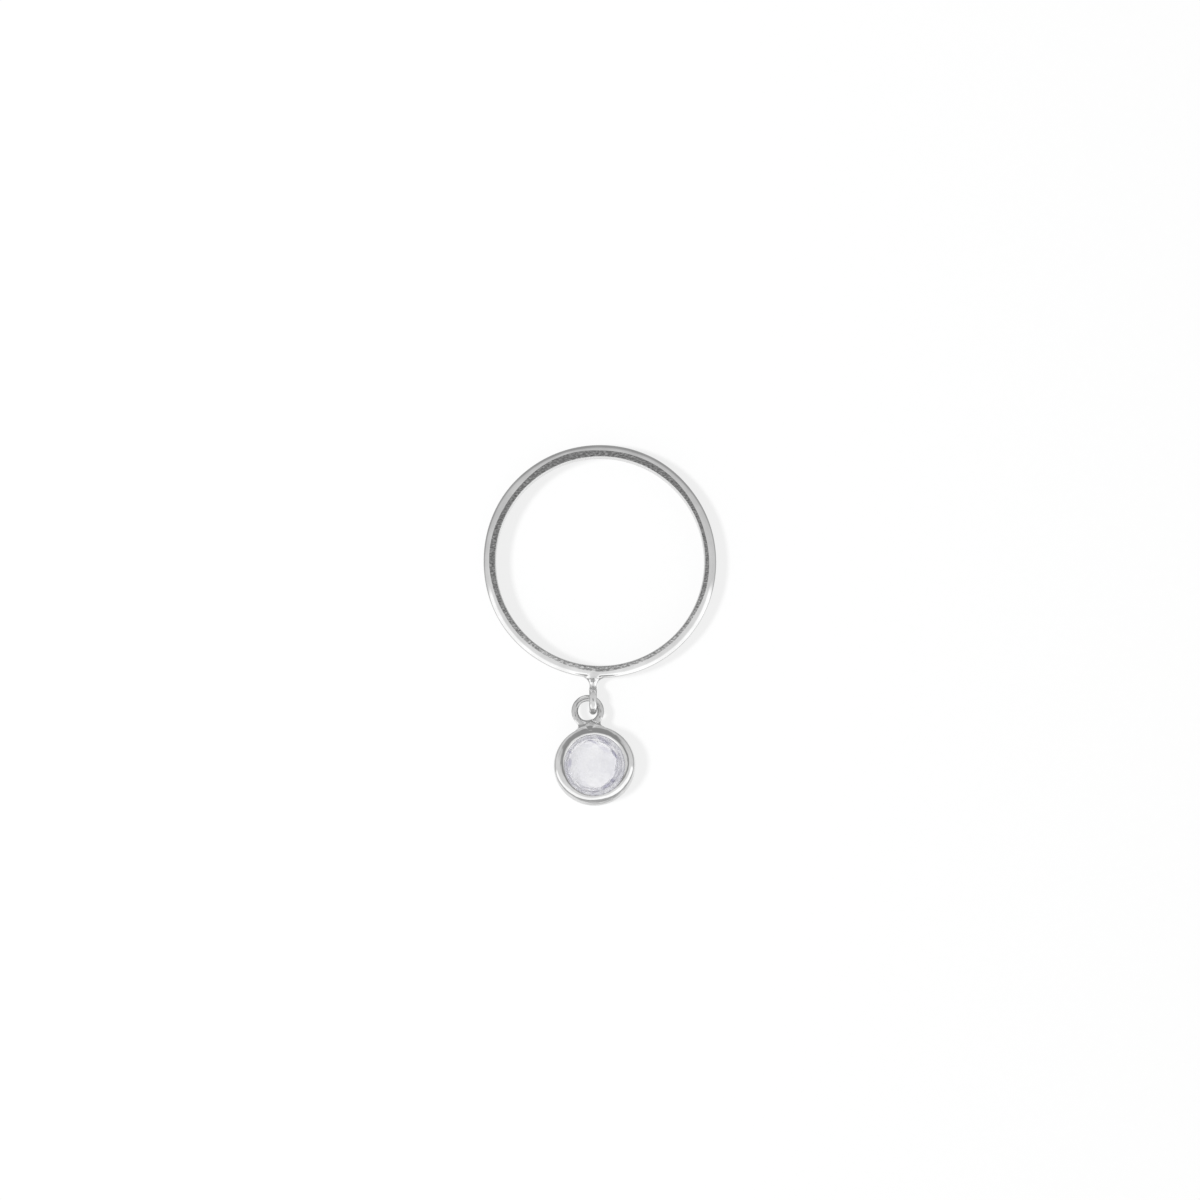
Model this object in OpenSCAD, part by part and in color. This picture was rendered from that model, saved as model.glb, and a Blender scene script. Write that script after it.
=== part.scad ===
// Charm ring: a slim domed band that carries a soldered wire loop, and a bezel-set
// stone whose eye is linked through that loop. The ring lies on its side, with the
// finger hole's axis along Z and the drop laid out towards -Y. The origin is the middle
// of the finger hole, so the plane that the ring lies on is half the band's width lower.
// Units are millimetres.

/* [Band] */
// Diameter of the finger hole, a US size 6
finger_d = 16.5; // [14:0.1:22]
// Width of the band along the finger
band_w = 2.2; // [1.9:0.05:2.5]
// Thickness of the band at the top of its dome
band_t = 0.95; // [0.9:0.05:1.4]
// Width of the flat filed side, from the hole's edge to the dome
side_t = 0.45; // [0.3:0.05:0.5]
// Radius of the dome's shoulders, next to the filed sides
shoulder_r = 0.44; // [0.1:0.02:0.46]
// Edge break on the rims of the finger hole
hole_break = 0.06; // [0.02:0.01:0.12]

/* [Loop on the band] */
// Wire diameter of the loop that carries the drop
loop_wire = 0.6; // [0.4:0.05:0.7]
// Sideways offset of the loop from the band's -Y axis
loop_x = -0.56; // [-1:0.02:1]
// Length from the band's surface to the loop's tip
loop_reach = 2.9; // [2.8:0.05:3.2]
// Radius of the solder at its waist, between band and loop
solder_waist_r = 0.25; // [0.2:0.01:0.28]
// Radius of the solder's hollow flare onto the band
solder_flare_r = 0.36; // [0.25:0.01:0.38]

/* [Bezel] */
// Outer diameter of the bezel
bezel_d = 6.4; // [6.2:0.05:7]
// Thickness of the bezel's wall, from its outside to the lip's edge over the stone
bezel_wall = 0.8; // [0.75:0.05:0.9]
// Radius of the rim's outside, where the wall is rolled over the stone
rim_roll_r = 1; // [0.95:0.05:1.4]
// Height of the bezel
bezel_h = 2.4; // [2.2:0.05:2.8]
// Width of the ledge that the stone sits on
ledge_t = 0.25; // [0.15:0.05:0.4]
// Edge break on the back rims of the bezel
back_break = 0.12; // [0.05:0.01:0.2]

/* [Eye of the drop] */
// Wire diameter of the eye
eye_wire = 0.52; // [0.4:0.02:0.56]
// Outside diameter of the eye
eye_d = 2.57; // [2.4:0.01:2.9]
// Radius of the solder's hollow corners between eye and bezel
eye_solder_r = 0.15; // [0.1:0.01:0.3]
// Thickness of that solder
eye_solder_t = 0.46; // [0.3:0.02:0.5]

/* [Lie of the drop] */
// Middle of the bezel, across the band's -Y axis
drop_x = -0.44; // [-0.5:0.02:-0.36]
// Distance from the band's surface to the middle of the bezel
drop_reach = 6.88; // [6.84:0.02:6.92]
// Swing of the drop's eye towards -X
drop_swing = 7.2; // [5:0.1:9]

/* [Stone] */
// Diameter of the stone at its girdle
stone_d = 5; // [4.9:0.02:5.04]
// Thickness of the girdle
girdle_t = 0.2; // [0.1:0.05:0.3]
// Height of the girdle's middle above the bezel's back
girdle_z = 1.46; // [1.4:0.02:1.5]
// Gap between the stone and its seat
seat_gap = 0.03; // [0.02:0.01:0.05]

/* [Hidden] */

// A curved surface's fineness
$fn = 96;

// Band: radii of the hole, of the dome's foot and of its top
hole_r = finger_d / 2;
foot_r = hole_r + side_t;
band_r = hole_r + band_t;
// The dome's wide arc is tangent to both shoulders, and each shoulder to its filed side
dome_rise = band_t - side_t;
shoulder_z = band_w / 2 - shoulder_r;
dome_arc_r = (pow(dome_rise, 2) + pow(shoulder_z, 2) - pow(shoulder_r, 2)) / (2 * (dome_rise - shoulder_r));
dome_arc_z = shoulder_z * dome_arc_r / (dome_arc_r - shoulder_r);

// Height of the plane that the ring lies on
rest_z = -band_w / 2;

// Loop: it stands as tall as the band is wide, so that both rest on the same plane
loop_d = band_w;
loop_line_r = (loop_d - loop_wire) / 2;
loop_y = -(band_r + loop_reach - loop_d / 2);
// The solder starts this far under the top of the dome. Its flare ends level with that top, and
// its foot slopes on down to the sides of the dome.
solder_root = 0.45;
flare_r = solder_waist_r + solder_flare_r;
solder_foot_r = flare_r + 0.32;
solder_foot_drop = 0.37;

// Bezel: the lip's edge, the height where the wall starts to roll over, and the ledge under the stone
bezel_r = bezel_d / 2;
lip_r = bezel_r - bezel_wall;
roll_z = bezel_h - sqrt(pow(rim_roll_r, 2) - pow(rim_roll_r - bezel_wall, 2));
ledge_r = lip_r - ledge_t;
stone_r = stone_d / 2;
groove_r = stone_r + seat_gap;
// The lip's cone lies on the stone's outermost crown facets, and the seat's cone under its
// outermost pavilion facets. Each cone clears the corners between two of the 16 facets.
crown_slope = 42;
pavilion_slope = 48;
corner_rise = stone_r * (1 - cos(180 / 16));
lip_top_z = girdle_z + girdle_t / 2 + seat_gap + corner_rise * tan(crown_slope);
seat_top_z = girdle_z - girdle_t / 2 - seat_gap - corner_rise * tan(pavilion_slope);
lip_low_z = lip_top_z + (groove_r - lip_r) * tan(crown_slope);
seat_low_z = seat_top_z - (groove_r - ledge_r) * tan(pavilion_slope);

// Eye: its wire's line, its middle's distance from the stone's axis, and its height above the
// bezel's back, which is the height of the loop's middle
eye_line_r = (eye_d - eye_wire) / 2;
eye_reach = 4.3;
eye_z = band_w / 2;
// The middle of each hollow corner of solder, which touches the bezel's circle and the eye's
corner_bezel = bezel_r + eye_solder_r;
corner_eye = eye_d / 2 + eye_solder_r;
corner_y = (pow(eye_reach, 2) + pow(corner_bezel, 2) - pow(corner_eye, 2)) / (2 * eye_reach);
corner_x = sqrt(pow(corner_bezel, 2) - pow(corner_y, 2));
// The solder ends inside the eye's wire, half way down from its middle
wire_x = eye_line_r * cos(45);

// Stone: the columns of its table of facets. A row has a number of directions, and the bearing of
// the first. Each direction gives two opposite facets on the crown and two on the pavilion, with
// their slope and the radius and height of a point on them, from the girdle's middle.
DIRECTIONS = 0;
BEARING = 1;
CROWN_SLOPE = 2;
CROWN_R = 3;
CROWN_Z = 4;
PAVILION_SLOPE = 5;
PAVILION_R = 6;
PAVILION_Z = 7;
STONE_ROWS = [
    [8, 0, crown_slope, stone_r, girdle_t / 2, pavilion_slope, stone_r, girdle_t / 2],
    [4, 11.25, 24, 1.98, 0.56, 26, 2.1, 0.53],
    [4, 33.75, 15, 1.55, 0.75, 13, 1.3, 0.85],
    [4, 11.25, 7, 0.95, 0.9, 4, 0.6, 0.97],
];
// Heights of the flat table and the small flat culet, from the girdle's middle
table_z = 0.95;
culet_z = 0.98;
// Turn of the stone in its setting
stone_turn = -3;

// The band's section, with x as the distance from the finger hole's axis
module band_section() {
    edge_z = band_w / 2;
    polygon([
        [hole_r + hole_break, -edge_z],
        [foot_r, -edge_z],
        [foot_r, edge_z],
        [hole_r + hole_break, edge_z],
        [hole_r, edge_z - hole_break],
        [hole_r, hole_break - edge_z],
    ]);
    for (side = [-1, 1]) translate([foot_r, side * shoulder_z]) circle(r = shoulder_r);
    intersection() {
        translate([band_r - dome_arc_r, 0]) circle(r = dome_arc_r);
        translate([foot_r - shoulder_r, -dome_arc_z]) square([2 * dome_rise, 2 * dome_arc_z]);
    }
}

// Flared solder between band and loop, standing on z = 0 and growing along +Z
module loop_solder() {
    waist_z = solder_root + solder_flare_r;
    overlap = 0.01;
    rotate_extrude() {
        difference() {
            square([flare_r, waist_z]);
            translate([flare_r, waist_z]) circle(r = solder_flare_r);
        }
        polygon([
            [0, 0],
            [solder_foot_r, 0],
            [solder_foot_r, solder_root - solder_foot_drop],
            [flare_r - overlap, solder_root + overlap],
            [0, solder_root + overlap],
        ]);
    }
    cylinder(r = solder_waist_r, h = solder_root + loop_reach - loop_d + loop_wire / 2);
}

// A ring of round wire that lies flat, with the radius of the wire's middle line
module wire_ring(line_r, wire_d) {
    rotate_extrude() translate([line_r, 0]) circle(d = wire_d);
}

module band() {
    color("silver") union() {
        rotate_extrude() band_section();
        translate([loop_x, solder_root - band_r, 0]) rotate([90, 0, 0]) loop_solder();
        translate([loop_x, loop_y, 0]) rotate([0, 90, 0]) wire_ring(loop_line_r, loop_wire);
    }
}

// The bezel's section, with x as the distance from the stone's axis
module bezel_section() {
    intersection() {
        polygon([
            [ledge_r + back_break, 0],
            [bezel_r - back_break, 0],
            [bezel_r, back_break],
            [bezel_r, bezel_h],
            [lip_r, bezel_h],
            [lip_r, lip_low_z],
            [groove_r, lip_top_z],
            [groove_r, seat_top_z],
            [ledge_r, seat_low_z],
            [ledge_r, back_break],
        ]);
        union() {
            square([bezel_r, roll_z]);
            translate([bezel_r - rim_roll_r, roll_z]) circle(r = rim_roll_r);
        }
    }
}

// Solder that fills the corners between the bezel and the eye
module eye_solder() {
    translate([0, 0, eye_z]) linear_extrude(eye_solder_t, center = true) difference() {
        polygon([
            [-corner_x, corner_y - eye_solder_r],
            [corner_x, corner_y - eye_solder_r],
            [corner_x, corner_y],
            [wire_x, eye_reach - wire_x],
            [-wire_x, eye_reach - wire_x],
            [-corner_x, corner_y],
        ]);
        for (side = [-1, 1]) translate([side * corner_x, corner_y]) circle(r = eye_solder_r);
        translate([0, eye_reach]) circle(r = eye_line_r);
    }
}

// Lays a piece of the drop, modelled standing on z = 0 round the stone's axis, where the drop lies
module lie_of_drop() {
    translate([drop_x, -band_r - drop_reach, rest_z]) rotate([0, 0, drop_swing]) children();
}

module drop_setting() {
    color("silver") lie_of_drop() union() {
        rotate_extrude() bezel_section();
        eye_solder();
        translate([0, eye_reach, eye_z]) wire_ring(eye_line_r, eye_wire);
    }
}

// A bar longer than the stone, with a four-sided section. Its upper faces are two opposite facets
// of the crown, and its lower ones two of the pavilion.
module facet_bar(row) {
    crown_tan = tan(row[CROWN_SLOPE]);
    pavilion_tan = tan(row[PAVILION_SLOPE]);
    crown_apex = row[CROWN_Z] + row[CROWN_R] * crown_tan;
    pavilion_apex = row[PAVILION_Z] + row[PAVILION_R] * pavilion_tan;
    edge_x = (crown_apex + pavilion_apex) / (crown_tan + pavilion_tan);
    edge_z = crown_apex - edge_x * crown_tan;
    rotate([90, 0, 0]) linear_extrude(2 * stone_d, center = true) polygon([
        [0, crown_apex],
        [edge_x, edge_z],
        [0, -pavilion_apex],
        [-edge_x, edge_z],
    ]);
}

// The stone is what all the bars have in common, inside its round girdle
module cut_stone() {
    intersection() {
        translate([0, 0, -culet_z]) cylinder(r = stone_r, h = culet_z + table_z);
        intersection_for(row = STONE_ROWS) {
            intersection_for(i = [0 : row[DIRECTIONS] - 1]) {
                rotate([0, 0, row[BEARING] + i * 180 / row[DIRECTIONS]]) facet_bar(row);
            }
        }
    }
}

module stone() {
    color("ghostwhite", 0.6) lie_of_drop() {
        translate([0, 0, girdle_z]) rotate([0, 0, stone_turn]) cut_stone();
    }
}

band();
drop_setting();
stone();
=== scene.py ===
"""Dresses a slim silver charm ring: its band, the loop soldered to it, and the drop linked to the loop.

The sizes in the classes below are in millimetres, and become metres where a mesh is made. The ring
lies on its side, so Z is the finger hole's axis, and the drop lies towards -Y. A bearing is an angle
in degrees, clockwise from +Y as seen from above.
"""

import logging
import math
from dataclasses import dataclass
from enum import Enum
from typing import Callable

import bmesh
import bpy
import numpy as np
from bpy.types import Material, Mesh, Node, NodeSocket, NodeTree, Object
from mathutils import Matrix, Vector


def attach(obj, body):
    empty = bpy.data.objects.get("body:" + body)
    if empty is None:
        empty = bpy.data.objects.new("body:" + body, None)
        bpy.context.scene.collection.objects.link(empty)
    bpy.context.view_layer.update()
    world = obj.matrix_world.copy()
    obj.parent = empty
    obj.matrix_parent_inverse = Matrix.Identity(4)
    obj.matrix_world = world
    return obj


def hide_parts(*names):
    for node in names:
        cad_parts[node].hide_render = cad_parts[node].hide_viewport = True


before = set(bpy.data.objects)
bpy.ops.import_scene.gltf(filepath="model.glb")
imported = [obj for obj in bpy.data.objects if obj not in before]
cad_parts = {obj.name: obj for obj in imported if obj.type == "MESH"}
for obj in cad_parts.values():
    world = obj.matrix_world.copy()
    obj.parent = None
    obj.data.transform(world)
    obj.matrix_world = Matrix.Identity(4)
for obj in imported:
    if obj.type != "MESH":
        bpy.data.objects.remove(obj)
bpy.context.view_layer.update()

LOG = logging.getLogger("charm_ring")
MM = 0.001
# Height of the sheet that the ring rests on, half the band's width under the origin
FLOOR_Z = -1.1
# A piece made from its distance field: the size of a cell, how often its points are pulled onto the
# surface, the nudge that finds the slope there, in cells, and the least slope that a pull reckons with
CELL = 0.02
PULLS = 4
NUDGE = 0.05
LEAST_SLOPE = 0.5
# The values of a soft noise between which one shade blends into another
BLEND = (0.35, 0.65)

Place = tuple[float, float, float]
Table = tuple[tuple[float, float], ...]
Field = Callable[[np.ndarray], np.ndarray]


class BandZone(Enum):
    """How the band's metal was finished, as the number of its material slot."""

    POLISHED = 0
    FILED = 1


class CupZone(Enum):
    """How the cup's metal was finished, as the number of its material slot."""

    POLISHED = 0
    RUBBED = 1
    PICKLED = 2


# Colours and nodes


def linear(code: str) -> tuple[float, float, float, float]:
    """Turns an sRGB hex colour into linear values.

    Args:
        code: The colour, such as "#d7d7d9".

    Returns:
        Linear red, green and blue, with an alpha of 1.
    """
    channels = [int(code[i:i + 2], 16) / 255 for i in (1, 3, 5)]
    return (*(c / 12.92 if c <= 0.04045 else ((c + 0.055) / 1.055) ** 2.4 for c in channels), 1.0)


def add_node(tree: NodeTree, kind: str, settings: dict | None = None,
             links: dict | None = None) -> Node:
    """Adds a node with its settings and links.

    Args:
        tree: The tree that takes the node.
        kind: The node's type, without the words that all shader nodes begin with.
        settings: Values of inputs, by name or number, and of the node's own properties, by name. A
            colour ramp has `stops`, each a position and an sRGB hex colour, the two outer ones first.
        links: The output that feeds an input, by the input's name or number.

    Returns:
        The new node.
    """
    node = tree.nodes.new("ShaderNode" + kind)
    names = [socket.name for socket in node.inputs]
    for key, value in (settings or {}).items():
        if key == "stops":
            ramp = node.color_ramp.elements
            for i, (position, code) in enumerate(value):
                stop = ramp[i] if i < 2 else ramp.new(position)
                stop.position, stop.color = position, linear(code)
        elif isinstance(key, int) or key in names:
            node.inputs[key].default_value = value
        else:
            setattr(node, key, value)
    for key, output in (links or {}).items():
        tree.links.new(output, node.inputs[key])
    return node


def new_material(name: str) -> tuple[Material, NodeTree]:
    """Makes a material with an empty tree.

    Args:
        name: The material's name.

    Returns:
        The material and its tree.
    """
    material = bpy.data.materials.new(name)
    material.use_nodes = True
    material.node_tree.nodes.clear()
    return material, material.node_tree


# Finishes


@dataclass(frozen=True)
class PolishedSilver:
    """Sterling silver, polished on a buff and plated with rhodium.

    The plating gives the eye a clean mirror, a little darker and less warm than bare silver. The
    buff leaves soft waves, which bend the reflections a little, and hair lines. These are too fine
    to show, so a coarser noise of `hair_mm` varies the gloss in their place. Small parts, which
    were bent and soldered by hand, have shorter and deeper waves. A cup that was spun
    on the buff has lines round `spun_about`, drawn several times as coarse as real ones, so that
    they show. The lip that was rubbed down onto the stone is tinted a little yellow, a painted
    reflection of the stone's edge. Inside the cup the metal is matt and white, as the acid left it:
    `matt` is the share of its light that it scatters like chalk.
    """

    name: str = "rhodium_plated_silver_polished"
    bright: str = "#dddddd"
    dull: str = "#d0d0d0"
    roughness: float = 0.09
    cloud_mm: float = 1.6
    hair_mm: float = 0.05
    hair_tones: tuple[float, float] = (0.3, 0.7)
    hair_shares: tuple[float, float] = (0.7, 1.4)
    wave_mm: float = 0.9
    wave_depth_mm: float = 0.004
    matt: float = 0.0
    spun_about: tuple[float, float] | None = None
    spun_r_mm: float = 3.0
    line_mm: float = 0.13
    line_arc_mm: float = 1.5
    line_depth_mm: float = 0.014

    def lines(self, tree: NodeTree, place: NodeSocket) -> NodeSocket:
        """Draws lines round an upright axis, as they are left on a part that was turned on a buff.

        Args:
            tree: The material's tree.
            place: The place on the object.

        Returns:
            The output that has the lines' height, from 0 to 1.
        """
        x, y = self.spun_about
        away = add_node(tree, "VectorMath", {"operation": "SUBTRACT", 1: (x * MM, y * MM, 0.0)},
                        {0: place})
        flat = add_node(tree, "VectorMath", {"operation": "MULTIPLY", 1: (1.0, 1.0, 0.0)},
                        {0: away.outputs["Vector"]})
        reach = add_node(tree, "VectorMath", {"operation": "LENGTH"}, {0: flat.outputs["Vector"]})
        height = add_node(tree, "SeparateXYZ", links={"Vector": place})
        across = add_node(tree, "Math", {"operation": "ADD"},
                          {0: reach.outputs["Value"], 1: height.outputs["Z"]})
        bearing = add_node(tree, "VectorMath", {"operation": "NORMALIZE"}, {0: flat.outputs["Vector"]})
        arc = add_node(tree, "VectorMath", {"operation": "SCALE",
                                            "Scale": self.spun_r_mm / self.line_arc_mm},
                       {0: bearing.outputs["Vector"]})
        parts = add_node(tree, "SeparateXYZ", links={"Vector": arc.outputs["Vector"]})
        count = add_node(tree, "Math", {"operation": "MULTIPLY", 1: 1 / (self.line_mm * MM)},
                         {0: across.outputs["Value"]})
        spun = add_node(tree, "CombineXYZ", links={"X": parts.outputs["X"], "Y": parts.outputs["Y"],
                                                   "Z": count.outputs["Value"]})
        return add_node(tree, "TexNoise", {"Scale": 1.0, "Detail": 2.0},
                        {"Vector": spun.outputs["Vector"]}).outputs["Fac"]

    def build(self) -> Material:
        """Makes the material.

        Returns:
            The material.
        """
        material, tree = new_material(self.name)
        place = add_node(tree, "TexCoord").outputs["Object"]
        clouds = add_node(tree, "TexNoise", {"Scale": 1 / (self.cloud_mm * MM), "Detail": 3.0},
                          {"Vector": place})
        colour = add_node(tree, "ValToRGB", {"stops": tuple(zip(BLEND, (self.dull, self.bright)))},
                          {"Fac": clouds.outputs["Fac"]})
        hairs = add_node(tree, "TexNoise", {"Scale": 1 / (self.hair_mm * MM), "Detail": 2.0},
                         {"Vector": place})
        (low, high), (least, most) = self.hair_tones, self.hair_shares
        rough = add_node(tree, "MapRange", {"From Min": low, "From Max": high,
                                            "To Min": self.roughness * least,
                                            "To Max": self.roughness * most},
                         {"Value": hairs.outputs["Fac"]})
        waves = add_node(tree, "TexNoise", {"Scale": 1 / (self.wave_mm * MM), "Detail": 1.0},
                         {"Vector": place})
        bump = add_node(tree, "Bump", {"Strength": 1.0, "Distance": self.wave_depth_mm * MM},
                        {"Height": waves.outputs["Fac"]})
        if self.spun_about:
            bump = add_node(tree, "Bump", {"Strength": 1.0, "Distance": self.line_depth_mm * MM},
                            {"Height": self.lines(tree, place), "Normal": bump.outputs["Normal"]})
        shader = add_node(tree, "BsdfPrincipled", {"Metallic": 1.0 - self.matt},
                          {"Base Color": colour.outputs["Color"],
                           "Roughness": rough.outputs["Result"], "Normal": bump.outputs["Normal"]})
        add_node(tree, "OutputMaterial", links={"Surface": shader.outputs["BSDF"]})
        return material


@dataclass(frozen=True)
class FiledSilver:
    """Sterling silver, filed flat and rubbed on emery paper, under the same plating.

    The grit leaves short crossing scratches. They give the eye a dark, grainy strip with light
    specks. The grain is drawn about three times as coarse as the real one, so that it shows. The
    `shades` are those of a pit, a speck and the ground between them.
    """

    name: str = "rhodium_plated_silver_emery_rubbed"
    shades: tuple[tuple[float, str], ...] = ((0.4, "#828282"), (0.62, "#e3e3e3"), (0.51, "#b0b0b0"))
    roughness: float = 0.27
    grain_mm: float = 0.1
    stretch: float = 0.42
    turns: tuple[float, float] = (38.0, -24.0)
    grain_depth_mm: float = 0.011

    def build(self) -> Material:
        """Makes the material.

        Returns:
            The material.
        """
        material, tree = new_material(self.name)
        place = add_node(tree, "TexCoord").outputs["Object"]
        strokes = []
        for turn in self.turns:
            along = add_node(tree, "Mapping", {"Rotation": (0.0, 0.0, math.radians(turn)),
                                               "Scale": (self.stretch, 1.0, 1.0)}, {"Vector": place})
            strokes.append(add_node(tree, "TexNoise", {"Scale": 1 / (self.grain_mm * MM), "Detail": 3.0,
                                                       "Roughness": 0.6},
                                    {"Vector": along.outputs["Vector"]}).outputs["Fac"])
        grain = add_node(tree, "Mix", {"data_type": "FLOAT", 0: 0.5},
                         {2: strokes[0], 3: strokes[1]}).outputs[0]
        colour = add_node(tree, "ValToRGB", {"stops": self.shades}, {"Fac": grain})
        bump = add_node(tree, "Bump", {"Strength": 1.0, "Distance": self.grain_depth_mm * MM},
                        {"Height": grain})
        shader = add_node(tree, "BsdfPrincipled", {"Metallic": 1.0, "Roughness": self.roughness},
                          {"Base Color": colour.outputs["Color"], "Normal": bump.outputs["Normal"]})
        add_node(tree, "OutputMaterial", links={"Surface": shader.outputs["BSDF"]})
        return material


@dataclass(frozen=True)
class Feather:
    """A small crack or a darker patch in the stone, drawn as a soft smudge of tint on its facets.

    It tints a facet where that passes through it. Its place and half sizes are in millimetres, and
    `turn` is its direction in degrees from +X. It fades between two distances from its middle,
    counted in half sizes.
    """

    x: float
    y: float
    along: float
    across: float
    turn: float
    colour: str
    z: float = 0.95
    deep: float = 0.8
    full_within: float = 0.4
    none_beyond: float = 1.25

    def cloud(self, tree: NodeTree, place_mm: NodeSocket, under: NodeSocket) -> NodeSocket:
        """Lays the feather over the stone's colour.

        Args:
            tree: The stone's tree.
            place_mm: The place on the stone, in millimetres.
            under: The colour so far.

        Returns:
            The colour with the feather in it.
        """
        own = add_node(tree, "Mapping", {"vector_type": "TEXTURE", "Location": (self.x, self.y, self.z),
                                         "Rotation": (0.0, 0.0, math.radians(self.turn)),
                                         "Scale": (self.along, self.across, self.deep)},
                       {"Vector": place_mm})
        away = add_node(tree, "VectorMath", {"operation": "LENGTH"}, {0: own.outputs["Vector"]})
        near = add_node(tree, "MapRange", {"interpolation_type": "SMOOTHSTEP",
                                           "From Min": self.none_beyond,
                                           "From Max": self.full_within},
                        {"Value": away.outputs["Value"]})
        return add_node(tree, "MixRGB", {"Color2": linear(self.colour)},
                        {"Fac": near.outputs["Result"], "Color1": under}).outputs["Color"]


@dataclass(frozen=True)
class RockCrystal:
    """Rock crystal, cut and polished on a lap.

    It gives the eye a clear stone with a faint violet grey tint. A noise of each facet's direction
    darkens that facet's tint a little: a painted shade that stands in for the different light each
    facet throws. Lamps shine through it onto what lies under it. A ray from the camera that meets the
    stone after more than `bends` bends is scattered, with a tint that a noise clouds from `deep` to
    `pale`. Going in is the first bend, so this befalls what has turned back inside once. It isn't the
    stone's optics, but stands in for the mottled rim that many small reflections give.
    """

    name: str = "rock_crystal_faceted"
    tint: str = "#f0f0f0"
    # The darker end of the painted shade that each facet gets by its direction
    haze: str = "#dcdce1"
    deep: str = "#b7b6be"
    pale: str = "#e6e6e8"
    mottle_mm: float = 0.45
    feathers: tuple[Feather, ...] = (
        Feather(0.98, -17.3, 0.23, 0.2, 0, "#7e7c93"), Feather(0.5, -17.7, 0.52, 0.18, 29, "#9f9db3"),
        Feather(1.13, -15.2, 0.5, 0.13, -54, "#84829a"), Feather(-0.56, -14.22, 0.55, 0.1, -28, "#aba9ba"),
        Feather(-2.4, -15.9, 0.44, 0.2, 84, "#aba9bb"), Feather(-2.38, -15.05, 0.13, 0.12, 0, "#9d9bb0"),
        Feather(0.35, -14.8, 0.66, 0.24, -30, "#cdccd6"), Feather(0.3, -14.16, 0.74, 0.2, -32, "#b3b1c0"))
    bends: float = 1.5
    ior: float = 1.544
    facet_scale: float = 2.6

    def build(self) -> Material:
        """Makes the material.

        Returns:
            The material.
        """
        material, tree = new_material(self.name)
        spot = add_node(tree, "TexCoord")
        # Painted shade: a noise of each facet's direction darkens its tint a little, standing in for the
        # light that facet throws
        shades = add_node(tree, "TexNoise", {"Scale": self.facet_scale, "Detail": 0.0},
                          {"Vector": spot.outputs["Normal"]})
        colour = add_node(tree, "ValToRGB", {"stops": tuple(zip(BLEND, (self.tint, self.haze)))},
                          {"Fac": shades.outputs["Fac"]})
        place_mm = add_node(tree, "VectorMath", {"operation": "MULTIPLY", 1: (1 / MM,) * 3},
                            {0: spot.outputs["Object"]}).outputs["Vector"]
        tinted = colour.outputs["Color"]
        for feather in self.feathers:
            tinted = feather.cloud(tree, place_mm, tinted)
        glass = add_node(tree, "BsdfPrincipled", {"Roughness": 0.0, "IOR": self.ior,
                                                  "Transmission Weight": 1.0}, {"Base Color": tinted})
        rays = add_node(tree, "LightPath")
        mottle = add_node(tree, "TexNoise", {"Scale": 1 / self.mottle_mm, "Detail": 1.0},
                          {"Vector": place_mm})
        depths = add_node(tree, "ValToRGB", {"stops": tuple(zip(BLEND, (self.deep, self.pale)))},
                          {"Fac": mottle.outputs["Fac"]})
        scattered = add_node(tree, "BsdfTranslucent", links={"Color": depths.outputs["Color"]})
        late = add_node(tree, "Math", {"operation": "GREATER_THAN", 1: self.bends},
                        {0: rays.outputs["Ray Depth"]})
        inner = add_node(tree, "MixShader", links={0: late.outputs[0], 1: glass.outputs["BSDF"],
                                                   2: scattered.outputs["BSDF"]})
        clear = add_node(tree, "BsdfTransparent", {"Color": linear(self.tint)})
        mix = add_node(tree, "MixShader", links={0: rays.outputs["Is Shadow Ray"],
                                                 1: inner.outputs["Shader"], 2: clear.outputs["BSDF"]})
        add_node(tree, "OutputMaterial", links={"Surface": mix.outputs["Shader"]})
        return material


@dataclass(frozen=True)
class OpalAcrylic:
    """Opal acrylic sheet, cast and sanded matt, lit from below as on a light table.

    It gives the eye a plain white ground without gloss. Most of its light comes through it, and it
    scatters little light back, so shadows on it stay faint.
    """

    name: str = "opal_acrylic_matt"
    white: str = "#5a5a5a"
    cloud: str = "#575757"
    cloud_mm: float = 0.6
    glow: float = 0.8

    def build(self) -> Material:
        """Makes the material.

        Returns:
            The material.
        """
        material, tree = new_material(self.name)
        place = add_node(tree, "TexCoord").outputs["Object"]
        clouds = add_node(tree, "TexNoise", {"Scale": 1 / (self.cloud_mm * MM), "Detail": 5.0},
                          {"Vector": place})
        colour = add_node(tree, "MixRGB", {"Color1": linear(self.white), "Color2": linear(self.cloud)},
                          {"Fac": clouds.outputs["Fac"]})
        shader = add_node(tree, "BsdfPrincipled", {"Roughness": 0.95, "Specular IOR Level": 0.0,
                                                   "Emission Color": linear("#ffffff"),
                                                   "Emission Strength": self.glow},
                          {"Base Color": colour.outputs["Color"]})
        add_node(tree, "OutputMaterial", links={"Surface": shader.outputs["BSDF"]})
        return material


# Mesh making


def around(table: Table, bearings: np.ndarray, blur: float = 4.0) -> np.ndarray:
    """Follows a short table of measured values round a full turn, smoothly.

    Args:
        table: Pairs of a bearing and the value there.
        bearings: The bearings wanted.
        blur: How far the corners of the table are softened, in degrees.

    Returns:
        The value at each bearing.
    """
    fine = np.arange(0.0, 360.0, 0.5)
    knots = np.array(table)
    values = np.interp(fine, knots[:, 0], knots[:, 1], period=360.0)
    waves = np.arange(fine.size // 2 + 1)
    softened = np.fft.irfft(np.fft.rfft(values) * np.exp(-0.5 * (waves * math.radians(blur)) ** 2),
                            n=fine.size)
    return np.interp(bearings, fine, softened, period=360.0)


def add_piece(name: str, mesh: Mesh) -> Object:
    """Puts a mesh in the scene.

    Args:
        name: The object's name.
        mesh: The mesh.

    Returns:
        The object.
    """
    piece = bpy.data.objects.new(name, mesh)
    bpy.context.scene.collection.objects.link(piece)
    return piece


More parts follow.
